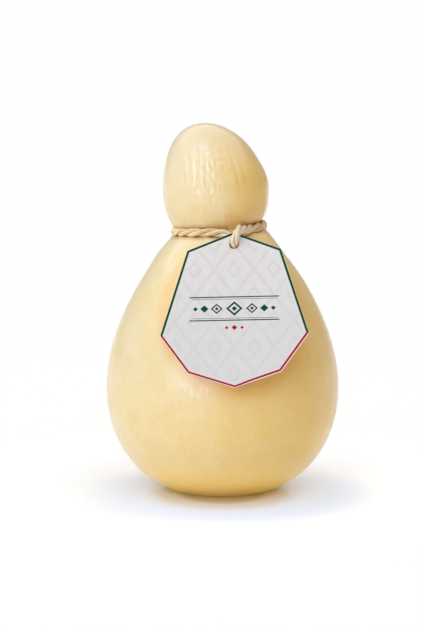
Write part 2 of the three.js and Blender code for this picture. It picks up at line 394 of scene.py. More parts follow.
class SkinNet(Net):
    """A material with a Principled surface."""

    def __init__(self, name, **sockets):
        self.material = bpy.data.materials.new(name)
        self.material.use_nodes = True
        super().__init__(self.material.node_tree)
        self.surface = self.tree.nodes["Principled BSDF"]
        for key, value in sockets.items():
            self.surface.inputs[key.replace("_", " ")].default_value = value
        self.place = self.put("ShaderNodeTexCoord", out="Object")

    def set(self, key, term):
        self.tree.links.new(term.socket, self.surface.inputs[key])

    def attribute(self, name, out="Fac"):
        return self.put("ShaderNodeAttribute", attribute_name=name, out=out)

    def bump(self, *layers):
        """Stacks bumps: each is (height in metres, strength)."""
        normal = None
        for height, strength in layers:
            values = {"Height": height, "Strength": strength, "Distance": 1.0}
            if normal is not None:
                values["Normal"] = normal
            normal = self.put("ShaderNodeBump", values)
        self.set("Normal", normal)


# ---------------------------------------------------------------- helpers


def mesh_object(name, vertices, edges, faces):
    mesh = bpy.data.meshes.new(name)
    mesh.from_pydata(vertices, edges, faces)
    mesh.update()
    piece = bpy.data.objects.new(name, mesh)
    bpy.context.scene.collection.objects.link(piece)
    return piece


def drop(piece):
    """Removes a helper object."""
    bpy.data.objects.remove(piece)


def sizes_of(group):
    """The settings of a group by the names that the sidebar shows."""
    rows = group.bl_rna.properties
    return {rows[key].name: getattr(group, key) for key in type(group).__annotations__}


def settle(piece, node):
    """Says where a finished piece belongs."""
    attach(piece, BODY)
    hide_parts(node)


# ---------------------------------------------------------------- cheese

AROUND = 336  # corners round the cheese
LEAN_START = 128 * MM  # height at which neck and head begin to lean
LEAN_BLEND = 10 * MM
BOWL_POWERS = (2.1, 1 / 2.37)  # roundness of the bowl under the belly
SHOULDER_POWER = 1.9  # roundness of the shoulder
UNDER_POWER = 2.3  # roundness of the head under its widest place
DOME_POWER = 2.02  # roundness of the dome
DOME_SKEW = 0.09  # what its power loses on the right, where it is slimmer
HEAD_SKEW = 2.2 * MM  # the head draws in faster on the right by this
DOME_SHIFT = 3.0 * MM  # the crown stands this far to the left
CROWN_BLEND = 4 * MM  # the relief fades out over this height below the crown
FOOT_BLEND = 6 * MM  # and over this height above the foot
NECK_BLEND = 1.0 * MM  # pear and head run into each other over this width
TILT_REACH = 18 * MM  # the neck's tilt sets in this far below the neck
NECK_LEFT = 4 * MM  # the neck's middle stands about this far to the left
PLEAT_UP = 34 * MM  # reach of the pleats above and below the neck
PLEAT_DOWN = 30 * MM
PLEATS = ((9, 0.4), (13, 1.9), (17, 3.1))  # waves round the neck and their turn
GATHERS = ((29, 0.7), (43, 2.2), (61, 4.0))
GATHER_REACH = 13 * MM
STREAK_HEIGHT = 0.7 * MM
STREAK_RISE = (8 * MM, 24 * MM)  # where the head's streaks set in above the neck
CRACKLE_HEIGHT = 1.05 * MM
WAVE_GAIN = 1.6
LUMP_HEIGHT = 0.22 * MM

# Folds in the front of the head where the warm curd was closed over:
# degrees right of the front, lowest and highest place, width and height, in mm.
# The ones below the cord run on down the shoulder.
FOLDS = (
    (-23.4, 184, 214, 2.0, 0.44),
    (-13.4, 180, 219, 1.7, 0.50),
    (-17.9, 182, 216, 0.9, -0.44),
    (-8.6, 184, 217, 0.8, -0.10),
    (-4.5, 188, 215, 0.9, 0.05),
    (-33.5, 188, 206, 1.2, 0.26),
    (-38.5, 186, 200, 1.0, 0.20),
    (19.0, 186, 216, 2.6, 0.20),
    (26.0, 184, 218, 1.3, -0.34),
    (36.0, 184, 212, 1.8, -0.24),
    (-43, 142, 158, 1.5, 0.40),
    (-55, 132, 154, 2.4, 0.22),
    (-27, 136, 156, 2.0, -0.20),
)
FOLD_LEVEL = 170  # folds that start above this are the head's
FOLD_GIRTHS = (32 * MM, 38 * MM)  # radius of the head and of the shoulder at the folds
FOLD_WOBBLE = 1.6 * MM
# Shallow flats that hands left: degrees right of the front, height of the middle,
# radius of the form there, half width, half height and depth, in mm.
FLATS = ((86, 206, 30, 22, 10, 1.0), (86, 180, 33, 20, 8, 0.9), (-90, 209, 29, 20, 14, 0.7))
CREASE_AT = (-9, 201)  # middle of the creased patch: degrees right and height in mm
CREASE_SIZE = (46, 28)  # half its width in degrees and half its height in mm
CRINKLE_AT = Vector((-17, -71, 72.5)) * MM  # middle of the crinkles under the tag
CRINKLE_SIZE = (14 * MM, 6.5 * MM)
# Painted highlight on the ridges of the crinkles under the tag.
CRINKLE_HIGHLIGHT = (1.0, 0.86, 0.56)
SHADOW_REACH = (6.5 * MM, 2.6 * MM)  # painted shade darkens the skin next to the cord between these distances


def cheese_rows(form):
    """(height, share of the full radius) of each ring of corners, from the foot up."""
    rows = [(0.0, share_out) for share_out in (0.2, 0.4, 0.6, 0.8, 0.92)]

    def run(low, high, count):
        rows.extend((low + (high - low) * i / count, 1.0) for i in range(count))

    belly, neck, head, top = (
        form.belly_height, form.neck_height, form.head_height, form.head_top,
    )
    foot_rows, dome_rows = 38, 84
    cord_reach, pleat_reach = 6 * MM, 20 * MM  # rows are closer together near the cord
    for i in range(foot_rows):
        rows.append((belly * (1 - math.cos(math.pi / 2 * i / foot_rows)), 1.0))
    levels = (belly, neck - pleat_reach, neck - cord_reach, neck + cord_reach, head)
    for low, high, count in zip(levels, levels[1:], (52, 22, 40, 26)):
        run(low, high, count)
    for i in range(dome_rows):
        rows.append((head + (top - head) * math.sin(math.pi / 2 * i / dome_rows), 1.0))
    return rows


def cheese_blank(form):
    """A closed drum of radius 1 with rings at the heights that the shape needs."""
    rows = cheese_rows(form)
    turn = np.arange(AROUND) * 2 * math.pi / AROUND
    ring = np.column_stack([np.cos(turn), np.sin(turn), np.zeros(AROUND)])
    vertices = [(0.0, 0.0, 0.0)]
    for height, out in rows:
        vertices.extend(map(tuple, ring * out + (0, 0, height)))
    vertices.append((0.0, 0.0, form.head_top))
    last = len(vertices) - 1
    faces = []
    for i in range(AROUND):
        j = (i + 1) % AROUND
        faces.append((0, 1 + j, 1 + i))
        for row in range(len(rows) - 1):
            low, high = 1 + row * AROUND, 1 + (row + 1) * AROUND
            faces.append((low + i, low + j, high + j, high + i))
        crown = 1 + (len(rows) - 1) * AROUND
        faces.append((crown + i, crown + j, last))
    return mesh_object("cheese_blank", vertices, [], faces)


def pear_radius(net, z):
    """Radius of the bowl, the belly and the shoulder at a height."""
    belly, at = net.given("Belly radius"), net.given("Belly height")
    sunk = net.held((at - z) / (at + net.given("Bowl sink")))
    bowl = belly * (1.0 - sunk ** BOWL_POWERS[0]) ** BOWL_POWERS[1]
    rise = net.most(z - at, 0.0) / net.given("Shoulder reach")
    return net.least(bowl, belly * net.most(1.0 - rise ** SHOULDER_POWER, 0.0))


def head_radius(net, z, cosine):
    """Radius of the head at a height; cosine is 1 on the right and -1 on the left."""
    at, top = net.given("Head height"), net.given("Head top")
    reach = net.given("Head reach") - cosine * HEAD_SKEW
    under = net.most(1.0 - (net.most(at - z, 0.0) / reach) ** UNDER_POWER, 0.0)
    power = DOME_POWER - cosine * DOME_SKEW
    rise = net.held((z - at) / (top - at))
    dome = (1.0 - rise ** power) ** (1.0 / power)
    return net.given("Head radius") * net.least(under, dome)


def wrinkled_patch(net, front, z):
    """1 in the creased patch in the front of the head, fading out round it."""
    across = (front - math.radians(CREASE_AT[0])) / math.radians(CREASE_SIZE[0])
    up = (z - CREASE_AT[1] * MM) / (CREASE_SIZE[1] * MM)
    return net.ease(across * across + up * up, 1.0, 0.25)


def neck_waves(net, z, angle, place):
    """The broad pleats round the neck and the fine gathers at the cord."""
    def ripples(waves):
        return sum(net.math("COSINE", angle * count + turn) for count, turn in waves)

    over = z - net.given("Neck height")
    up = net.ease(over / -PLEAT_UP + 1.0)
    down = net.ease(over / PLEAT_DOWN + 1.0)
    fade = net.least(up, down)
    yield ripples(PLEATS) * fade * net.given("Pleat depth") * (-1 / len(PLEATS))
    near = net.bell(over, GATHER_REACH)
    uneven = net.noise(place, 55.0)
    yield ripples(GATHERS) * near * uneven * net.given("Gather depth") * (-2 / len(GATHERS))


def fold_lines(net, front, z):
    """The folds, each of which wobbles a little and fades out at both ends."""
    for degrees, low, high, width, proud in FOLDS:
        across = front - math.radians(degrees)
        girth = FOLD_GIRTHS[0] if low > FOLD_LEVEL else FOLD_GIRTHS[1]
        wobble = net.noise(net.join(0.0, float(degrees), z), 120.0) - 0.5
        line = net.bell(across * girth + wobble * FOLD_WOBBLE, width * MM)
        start, end, span = low * MM, high * MM, (high - low) * MM
        along = net.ease(z, start, start + span * 0.35) * net.ease(z, end, end - span * 0.4)
        yield line * along * (proud * MM)


def dents(net, front, z):
    """The shallow flats that hands left."""
    for degrees, level, girth, wide, tall, deep in FLATS:
        turned = net.math("COSINE", front - math.radians(degrees))
        chord = net.root(net.most(2.0 - turned * 2.0, 0.0)) * (girth * MM)
        yield net.bell(chord, wide * MM) * net.bell(z - level * MM, tall * MM) * (-deep * MM)


def creases(net, z, angle, place, creased):
    """The upright streaks of the head and the crackle of its creased patch."""
    neck = net.given("Neck height")
    low, high = STREAK_RISE
    ring = net.join(net.math("COSINE", angle), net.math("SINE", angle), z * 9.0)
    streak = net.noise(ring, 8.0, detail=3.0, roughness=0.55) - 0.5
    yield streak * (creased * 0.8 + 0.2) * net.ease(z, neck + low, neck + high) * STREAK_HEIGHT
    x, y, _ = net.split(place)
    at = net.join(x, y, z * 0.55)
    crackle = net.noise(at, 300.0, detail=2.0, roughness=0.6, distortion=0.8) - 0.5
    yield crackle * creased * CRACKLE_HEIGHT


def relief(net, z, angle, place, creased):
    """How far the skin stands proud of the plain form."""
    front = angle + math.pi / 2
    wave = net.noise(place, 14.0, detail=1.0) - 0.5
    lump = net.noise(place, 70.0, detail=2.0) - 0.5
    return sum((
        *neck_waves(net, z, angle, place), *fold_lines(net, front, z), *dents(net, front, z),
        *creases(net, z, angle, place, creased),
        wave * net.given("Wave depth") * WAVE_GAIN, lump * LUMP_HEIGHT,
    ))


def shape_cheese(form, path, finish):
    """The tree that turns the drum into the leaning, pleated pear with its head."""
    net = ShapeNet("Shape cheese", {**sizes_of(form), "Cord path": path, "Finish": finish})
    x, y, z = net.split(net.put("GeometryNodeInputPosition"))
    angle = net.math("ARCTAN2", y, x)
    out = net.reach(x, y)
    cosine, sine = net.math("COSINE", angle), net.math("SINE", angle)
    plain = net.math("SMOOTH_MAX", pear_radius(net, z), head_radius(net, z, cosine), NECK_BLEND)
    rough_place = net.join(plain * cosine * out, plain * sine * out, z)
    head, top, neck = (
        net.given("Head height"), net.given("Head top"), net.given("Neck height"),
    )
    creased = wrinkled_patch(net, angle + math.pi / 2, z)
    standing = net.ease(z, 0.0, FOOT_BLEND) * net.ease(z, top, top - CROWN_BLEND)
    proud = relief(net, z, angle, rough_place, creased) * standing
    radius = (plain + proud) * out
    dome = net.most((z - head) / (top - head), 0.0)
    over = net.most(z - LEAN_START, 0.0)
    bent = net.least(over, LEAN_BLEND)
    lean = (bent * bent / (2 * LEAN_BLEND) + over - bent) * net.given("Lean")
    side = radius * cosine
    tilted = net.least(
        net.ease((z - neck + TILT_REACH) / TILT_REACH), net.ease((top - z) / (top - neck)),
    )
    place = net.join(
        side - lean - dome * dome * DOME_SHIFT,
        radius * sine,
        z + side * tilted * net.given("Neck tilt"),
    )
    shaped = net.move(net.store(net.start, "wrinkled", creased), to=place)
    net.close(net.put("GeometryNodeSetShadeSmooth", {0: press_groove(net, shaped)}))
    return net


def press_groove(net, geometry):
    """Moves the skin in, level with itself, until it is clear of the cord."""
    path = net.put(
        "GeometryNodeObjectInfo", {0: net.given("Cord path")}, out="Geometry",
        transform_space="ORIGINAL",
    )
    here = net.put("GeometryNodeInputPosition")
    nearest = net.put("GeometryNodeProximity", {0: path, 2: here}, target_element="EDGES")
    gap = net.vector("SUBTRACT", here, nearest)
    x, y, _ = net.split(here)
    inward = net.vector("NORMALIZE", net.join(x + NECK_LEFT, y, 0.0))
    rough = net.noise(here, 260.0) - 0.5
    clear = net.given("Press radius") + rough * (0.25 * MM)
    along = net.vector("DOT_PRODUCT", gap, inward, out=1)
    away = net.vector("DOT_PRODUCT", gap, gap, out=1)
    depth = along + net.root(net.most(clear * clear - away + along * along, 0.0))
    inside = net.below(away, clear * clear)
    pressed_shade = net.move(geometry, by=net.scaled(inward, depth * inside * -1.0))
    # Keeps how near the cord the skin lies, which masks the painted shade next to it.
    return net.store(pressed_shade, "pressed_shade", net.ease(net.root(away), *SHADOW_REACH))


def behind_tag(net, place):
    """1 behind the tag and 0 from a few millimetres outside its edge: where the tag's painted
    shadow falls.
    """
    right, y, z = net.split(net.vector("SUBTRACT", place, TAG_HOLE))
    up = y * math.sin(TAG_LEAN) + z * math.cos(TAG_LEAN)
    away = net.reach(right / (47 * MM), (up + 43 * MM) / (52 * MM))
    return net.ease(away, 1.05, 0.90) * net.ease(y, 60 * MM, 30 * MM)


def crinkled_patch(net, place):
    """Where the skin is crinkled under the tag's corner, and its slanted crinkles."""
    x, y, z = net.split(net.vector("SUBTRACT", place, CRINKLE_AT))
    wide, tall = CRINKLE_SIZE
    spread = (x / wide) ** 2.0 + ((z + x * 0.25) / tall) ** 2.0
    crinkled = net.ease(spread, 1.0, 0.3) * net.ease(y, 30 * MM, 10 * MM)
    slanted = net.join(x - z * 0.3, 0.0, z * 0.4)
    return crinkled, net.noise(slanted, 420.0, detail=2.0, roughness=0.6, distortion=0.8)


def skin_colour(net, skin, stretched, cloudy, grain, crinkled, crinkles):
    """Soft patches of pale and deep yellow, with painted light and shade: paler on the left and on
    the head, deeper on the right, painted light low down, the tag's painted shadow, painted
    highlights on the crinkles, darker towards the crown and painted shade under the cord.
    """
    x, _, z = net.split(net.place)
    right, high = net.ease(x, -70 * MM, 70 * MM), net.ease(z, 145 * MM, 195 * MM)
    # Painted light and shade: paler on the left and on the head, deeper on the right and on the
    # right of the neck and head.
    painted_shading = right * 0.30 - high * 0.20
    painted_shading += net.ease(x, -12 * MM, 24 * MM) * net.ease(z, 150 * MM, 180 * MM) * 0.38
    broad = net.noise(net.place, 16.0, detail=2.0)
    patch = net.ease(broad * 0.35 + cloudy * 0.40 + grain * 0.25 + painted_shading, 0.20, 1.0)
    colour = net.blend(patch, skin.pale, skin.deep)
    streaks = net.noise(stretched, 330.0, detail=3.0, roughness=0.6)
    for factor, tone in (
        (net.ease(streaks, 0.55, 0.8) * 0.15, skin.pale),
        # painted light low down
        (net.ease(z, 30 * MM, 4 * MM) * 0.8, skin.foot),
        # painted shadow of the tag
        (behind_tag(net, net.place) * 0.5, skin.tag_shadow),
        # painted highlights on the crinkles
        (net.ease(crinkles, 0.52, 0.62) * crinkled * 0.2, CRINKLE_HIGHLIGHT),
        # darker towards the crown
        (net.ease(z, 200 * MM, 226 * MM) * 0.6, skin.crown),
        # painted shade next to the cord
        (net.attribute("pressed_shade") * 0.75, skin.pressed_shade),
    ):
        colour = net.blend(factor, colour, tone)
    return colour


def skin_material(skin):
    """Waxy pale yellow skin: soft patches, stretched wrinkles, satin gloss."""
    net = SkinNet(
        "cheese_skin", Subsurface_Weight=skin.translucency, Subsurface_Scale=0.009,
        Subsurface_Radius=(1.0, 0.52, 0.18), IOR=1.47, Specular_IOR_Level=0.5,
        Coat_Weight=0.6, Coat_Roughness=0.22,
    )
    stretched = net.put("ShaderNodeMapping", {0: net.place, 3: (1.0, 1.0, 0.16)})
    cloudy = net.noise(net.place, 75.0, detail=3.0, roughness=0.6)
    grain = net.noise(net.place, 420.0, detail=2.0)
    crinkled, crinkles = crinkled_patch(net, net.place)
    colour = skin_colour(net, skin, stretched, cloudy, grain, crinkled, crinkles)
    net.set("Base Color", colour)
    net.set("Roughness", cloudy * 0.16 + grain * 0.08 + (skin.roughness - 0.12))
    wrinkles = net.noise(stretched, 520.0, detail=4.0, roughness=0.65)
    upper = net.attribute("wrinkled")
    pores = net.noise(net.place, 900.0, detail=2.0)
    lumps = net.noise(net.place, 150.0, detail=2.0)
    net.bump(
        (lumps * (0.10 * MM), 0.8),
        (wrinkles * (upper * 0.7 + 0.2) * (0.14 * MM), 0.8),
        (crinkles * crinkled * (0.62 * MM), 0.8),
        (pores * (0.03 * MM), 0.7),
    )
    return net.material


# ---------------------------------------------------------------- cord

TAG_LEAN = math.radians(27.2)  # how far the tag's face looks up
TAG_ROLL = math.radians(1.85)  # its turn in its own plane
TAG_YAW = math.radians(-4)  # its turn towards the left
TAG_HOLE = Vector((6.8, -39.05, 156.85)) * MM  # middle of its hole
TURN_ANGLE = 28.5  # degrees behind the neck, each way, in which the ends are turned
TURN_COUNT = 1.5
TURN_POINTS = 10
LIE_GAP = 0.2 * MM  # room between a free end and the shoulder
PATH_STEP = 0.45 * MM  # distance between the points of the path
STRAND_SHARE = 0.5  # radius of a strand as a share of the cord's
PINCH = 0.26  # what the cord loses of its radius in the tag's hole
PINCH_LENGTH = 10 * MM
FIBRE_LAY = 21 * MM  # length in which the fibres go once round their strand
FIBRE_HEIGHT = 0.62 * MM
HAIR_LENGTH = 2.0 * MM
HAIR_RADIUS = 0.035 * MM
HAIR_SWAY = 1.25  # how far a hair leans, in radians
NEAR_HOLE_PALE = shade(255, 250, 240)  # paler fibres of the cord near the tag's hole
# The two free ends: degrees from the back, height and how far they stand off, in mm.
FREE_END_LEFT = ((36, 155.2, 0), (39.5, 151, 0), (41.5, 147, 0), (42.5, 143, 0), (43, 138.8, 0))
FREE_END_RIGHT = ((35.5, 156.4, 2), (40, 152, 0.8), (43, 147.6, 0), (45, 143, 0), (46, 138.2, 0))
# Round the neck: degrees from the front and how far it stands out and up, in mm.
RIGHT_RING = ((138, 0.3, 0.5), (120, 0, 0), (100, 0, 0.1), (80, 0, 0), (60, 0, 0), (44, 0, 0.2))
LEFT_RING = (
    (-10, 0.4, 0.4), (-28, 0, 0.7), (-46, 0, 0.8), (-68, 0, 0.3), (-88, 0, 0),
    (-106, 0, 0.1), (-122, 0, 1), (-138, 1.1, 2.5),
)
# Over the tag's edge and through its hole: right, up the card and out of it, in mm.
TAG_LOOP = (
    (6.8, 12, -7.6), (4.6, 10.5, -2.5), (3.1, 8.7, 2.6), (1.6, 5, 4.1), (0.4, 1.4, 3.4),
    (0, 0, 0), (-0.5, 1.3, -3.8), (-2.6, 5.2, -5.4), (-6.4, 8.8, -5.6),
)


def axis_x(form, z):
    """Sideways place of the leaning axis at a height."""
    over = max(z - LEAN_START, 0)
    bent = min(over, LEAN_BLEND)
    return -form.lean * (bent * bent / (2 * LEAN_BLEND) + over - bent)


def round_neck(form, degrees, radius, rise):
    """A place round the leaning neck, in degrees right of the front."""
    x = radius * math.sin(math.radians(degrees))
    y = -radius * math.cos(math.radians(degrees))
    neck = form.neck_height
    return Vector((axis_x(form, neck) + x, y, neck + form.tilt * x + rise))


def turned_end(form, cord, side):
    """The stretch where the two ends are turned round each other behind the neck."""
    points = []
    for i in range(TURN_POINTS + 1):
        done = i / TURN_POINTS
        place = 180 - side * TURN_ANGLE * (1 - 2 * done)
        phase = -math.pi / 4 + side * TURN_COUNT * 2 * math.pi * done
        out = cord.turn_radius + cord.turn_half * math.sin(phase)
        points.append(round_neck(form, place, out, cord.turn_half * math.cos(phase)))
    return points


def shoulder_radius(form, z):
    """Radius of the plain shoulder at a height."""
    rise = (z - form.belly_height) / form.shoulder_reach
    return form.belly_radius * (1 - rise ** SHOULDER_POWER)


def free_end(form, cord, side, lie):
    """A short free end that comes off the knot and lies on the shoulder."""
    points = []
    for degrees, height, off in lie:
        z = height * MM
        slope = (shoulder_radius(form, z) - shoulder_radius(form, z + MM)) / MM
        lift = (cord.radius + LIE_GAP + off * MM) / math.hypot(1, slope)
        out = shoulder_radius(form, z) + lift
        x = axis_x(form, z) + side * out * math.sin(math.radians(degrees))
        points.append(Vector((x, out * math.cos(math.radians(degrees)), z + lift * slope)))
    return points


def on_tag(right, up, out):
    """A place in mm from the tag's hole: right, up the card and out of it."""
    up_way = Vector((0, math.sin(TAG_LEAN), math.cos(TAG_LEAN)))
    out_way = Vector((0, -math.cos(TAG_LEAN), math.sin(TAG_LEAN)))
    place = Vector((right, 0, 0)) + up_way * up + out_way * out
    return TAG_HOLE + Matrix.Rotation(TAG_YAW, 3, "Z") @ place * MM


def cord_route(form, cord):
    """Points from one free end to the other, as the solid cord has them."""
    def ring(rows):
        radius = cord.ring_radius
        return [round_neck(form, a, radius + out * MM, rise * MM) for a, out, rise in rows]

    return [
        *reversed(free_end(form, cord, -1, FREE_END_LEFT)),
        *reversed(turned_end(form, cord, 1)),
        *ring(RIGHT_RING),
        *(on_tag(*place) for place in TAG_LOOP),
        *ring(LEFT_RING),
        *turned_end(form, cord, -1),
        *free_end(form, cord, 1, FREE_END_RIGHT),
    ]


def smooth_route(points, per_span=24):
    """A centripetal Catmull-Rom curve through the points."""
    ends = [2 * points[0] - points[1], *points, 2 * points[-1] - points[-2]]
    line = []
    for a, b, c, d in zip(ends, ends[1:], ends[2:], ends[3:]):
        ta, tb, tc = ((q - p).length ** 0.5 for p, q in ((a, b), (b, c), (c, d)))
        into = ((b - a) / ta - (c - a) / (ta + tb) + (c - b) / tb) * tb
        away = ((c - b) / tb - (d - b) / (tb + tc) + (d - c) / tc) * tb
        for i in range(per_span):
            t = i / per_span
            line.append(
                b + into * t + (-3 * b + 3 * c - 2 * into - away) * t * t
                + (2 * b - 2 * c + into + away) * t ** 3
            )
    line.append(points[-1])
    return line


def even_route(line, step):
    """The same curve with its points at even distances."""
    places = np.array(line)
    run = np.concatenate([[0], np.cumsum(np.linalg.norm(np.diff(places, axis=0), axis=1))])
    wanted = np.linspace(0, run[-1], int(run[-1] / step) + 1)
    return np.column_stack([np.interp(wanted, run, places[:, i]) for i in range(3)])


def cord_path(form, cord):
    """The cord's middle line as an object of edges."""
    line = even_route(smooth_route(cord_route(form, cord)), PATH_STEP)
    edges = [(i, i + 1) for i in range(len(line) - 1)]
    return mesh_object("cord_path", [tuple(p) for p in line], edges, [])


def twist_strands(net):
    """The strands' middle lines, with what later nodes read, and their radius."""
    curve = net.put("GeometryNodeMeshToCurve", {0: net.start})
    values = {0: curve, 2: net.given("Strands")}
    copies = net.put("GeometryNodeDuplicateElements", values, domain="SPLINE")
    number = net.other(copies, 1)
    run = net.put("GeometryNodeSplineParameter", out="Length")
    place = net.put("GeometryNodeInputPosition")
    to_hole = net.vector("DISTANCE", place, net.given("Hole place"), out=1)
    thin = 1.0 - net.bell(to_hole, net.given("Pinch length")) * net.given("Pinch")
    turn = (run / net.given("Lay") + number / net.given("Strands")) * (-2 * math.pi)
    out_way = net.put("ShaderNodeVectorRotate", {
        0: net.put("GeometryNodeInputNormal"), 2: net.put("GeometryNodeInputTangent"), 3: turn,
    }, rotation_type="AXIS_ANGLE")
    lines = net.store(copies, "middle", place, "FLOAT_VECTOR")
    lines = net.store(net.store(lines, "run", run), "number", number)
    lines = net.move(lines, by=net.scaled(out_way, net.given("Strand offset") * thin))
    fibre_turn = run / net.given("Fibre lay") * (2 * math.pi)
    lines = net.put("GeometryNodeSetCurveTilt", {0: lines, 2: fibre_turn})
    uneven = net.noise(net.join(run, number * 0.7, 0.0), 90.0) - 0.5
    return lines, net.given("Strand radius") * thin * (1.0 + uneven * 0.20)


def lay_strands(cord, finish):
    """The tree that twists the strands round the path and streaks them with fibres."""
    strand_radius = cord.radius * STRAND_SHARE
    net = ShapeNet("Lay strands", {
        "Strands": cord.strands, "Lay": cord.lay, "Strand radius": strand_radius,
        "Strand offset": cord.radius - strand_radius, "Fibre lay": FIBRE_LAY,
        "Hole place": TAG_HOLE, "Pinch": PINCH, "Pinch length": PINCH_LENGTH, "Finish": finish,
    })
    lines, radius = twist_strands(net)
    ring_x, ring_y, _ = net.split(net.put("GeometryNodeInputPosition"))
    ring = net.circle(26, 1.0)
    ring = net.store(ring, "around", net.join(ring_x, ring_y, 0.0), "FLOAT_VECTOR")
    body = net.put("GeometryNodeCurveToMesh", {0: lines, 1: ring, 2: radius, 3: True})
    across, up, _ = net.split(net.stored("around", "FLOAT_VECTOR"))
    fibre_at = net.join(across + net.stored("number") * 5.3, up, net.stored("run") * 28.0)
    fibres = net.noise(fibre_at, 3.1, detail=4.0, roughness=0.62) - 0.5
    normal = net.put("GeometryNodeInputNormal")
    body = net.move(body, by=net.scaled(normal, fibres * FIBRE_HEIGHT))
    body = net.store(body, "fibre_at", fibre_at, "FLOAT_VECTOR")
    here, middle = net.put("GeometryNodeInputPosition"), net.stored("middle", "FLOAT_VECTOR")
    depth = net.vector("DISTANCE", here, middle, out=1)
    body = net.store(body, "depth", depth / cord.radius)
    net.close(net.put("GeometryNodeSetShadeSmooth", {0: body}))
    return net


def raise_hairs(cord, finish):
    """The tree that grows loose hairs out of the strands."""
    net = ShapeNet("Raise hairs", {
        "Hairs": float(cord.hairs) / (0.01 * 0.01), "Hair length": HAIR_LENGTH,
        "Hair radius": HAIR_RADIUS, "Seed": cord.seed, "Finish": finish,
    })
    seed = net.given("Seed")
    points = net.put("GeometryNodeDistributePointsOnFaces", {
        0: net.start, 4: net.given("Hairs"), 6: seed,
    }, distribute_method="RANDOM")
    spin = net.put("FunctionNodeRandomValue", {
        "Min": (-HAIR_SWAY, -HAIR_SWAY, -3.14), "Max": (HAIR_SWAY, HAIR_SWAY, 3.14),
        "Seed": seed,
    }, data_type="FLOAT_VECTOR")
    turns = {0: net.other(points, 2), 1: spin}
    laid = net.put("FunctionNodeRotateRotation", turns, rotation_space="LOCAL")
    hair = net.put("GeometryNodeCurveQuadraticBezier", {
        0: 5, 1: (0.0, 0.0, -0.1), 2: (0.0, 0.12, 0.45), 3: (0.5, 0.2, 0.75),
    })
    unit = net.put("GeometryNodeInputPosition")
    hair = net.move(hair, to=net.scaled(unit, net.given("Hair length")))
    section = net.circle(3, net.given("Hair radius"))
    tube = net.put("GeometryNodeCurveToMesh", {0: hair, 1: section, 3: True})
    size = net.put(
        "FunctionNodeRandomValue", {2: 0.3, 3: 1.25, "Seed": seed + 3}, out=1, data_type="FLOAT",
    )
    net.close(net.put("GeometryNodeInstanceOnPoints", {0: points, 2: tube, 5: laid, 6: size}))
    return net


def fibre_material(cord, name, hair=False):
    """Dry bast fibre: ivory and straw streaks, brown painted shade in the seams between the
    strands and on the right, paler near the tag's hole.
    """
    net = SkinNet(
        name, Specular_IOR_Level=0.3, Sheen_Weight=0.25, Sheen_Roughness=0.5,
        Subsurface_Weight=0.12, Subsurface_Scale=0.001, Subsurface_Radius=(1.0, 0.8, 0.5),
        Roughness=0.8,
    )
    if hair:
        patch = net.noise(net.place, 300.0)
        net.set("Base Color", net.blend(patch, cord.ivory, cord.straw))
        return net.material
    at = net.attribute("fibre_at", out="Vector")
    streak = net.noise(at, 4.2, detail=5.0, roughness=0.68)
    broad = net.noise(net.place, 85.0, detail=2.0)
    mixed = net.ease(streak * 0.6 + broad * 0.4, 0.36, 0.62)
    colour = net.blend(mixed, cord.ivory, cord.straw)
    x, _, _ = net.split(net.place)
    near_hole = net.vector("DISTANCE", net.place, TAG_HOLE, out=1)
    for factor, tone in (
        # painted shade in the seams between the strands
        (net.ease(net.attribute("depth"), 0.68, 0.50) * 0.9, cord.seam),
        (net.ease(streak, 0.60, 0.74) * 0.28, cord.seam),
        # painted shade on the cord's right
        (net.ease(x, 4 * MM, 26 * MM) * 0.5, cord.right_shade),
        (net.ease(near_hole, 15 * MM, 8 * MM) * 0.55, NEAR_HOLE_PALE),
    ):
        colour = net.blend(factor, colour, tone)
    net.set("Base Color", colour)
    fine = net.noise(at, 11.0, detail=4.0, roughness=0.7)
    net.bump((fine * (0.12 * MM), 0.9))
    return net.material


# ---------------------------------------------------------------- tag

# Corners of the card: half widths, and drops below the apex.
SHOULDER_HALF = 28.5 * MM
SHOULDER_DROP = 11.5 * MM
SIDE_DROP = 65.7 * MM
FOOT_HALF = 27.9 * MM
FOOT_DROP = 89.5 * MM
HOLE_DROP = 7.75 * MM
HOLE_SIDES = 48
CORNER_ROUND = 0.5 * MM
EDGE_SOFT = 0.16 * MM  # how far the card's edges are rounded
CARD_UV = 0.1  # metres of card that the print's map spans
CARD_MAP = Vector((0.5, 0.9))  # where the hole is on that map
CARD_BACK = (shade(240, 236, 232), shade(226, 220, 214))
ROSY = Vector((0.97, 0.90, 0.94))  # the card's fibres, as shares of its colour
LOWER_SHARE = 0.88  # and its lower end
LATTICE_SIZE = (24.0 * MM, 33.0 * MM)
BAND_DROP = 41.5 * MM  # middle of the ornament below the hole
# Rules above and below the band: away from its middle, half width and half length in mm.
RULES = ((7.4, 0.36, 27.0), (6.1, 0.13, 25.6))
# Lozenges: away from the card's middle, half width and half height in mm; hollow or not.
LOZENGES = (
    (0.0, 5.0, 4.6, True), (10.6, 3.6, 3.3, True),
    (18.0, 2.5, 2.3, False), (23.4, 1.5, 1.4, False),
)
DROPS = ((0.0, 1.7), (4.6, 1.1))  # marks under the band: away from the middle and size
DROPS_DROP = 53.6 * MM


def tag_half(tag):
    """Corners down the right half of the card, from the apex; the hole is at 0, 0."""
    return [
        Vector((0, HOLE_DROP)),
        Vector((SHOULDER_HALF, HOLE_DROP - SHOULDER_DROP)),
        Vector((tag.width / 2, HOLE_DROP - SIDE_DROP)),
        Vector((FOOT_HALF, HOLE_DROP - FOOT_DROP)),
        Vector((0, HOLE_DROP - tag.height)),
    ]


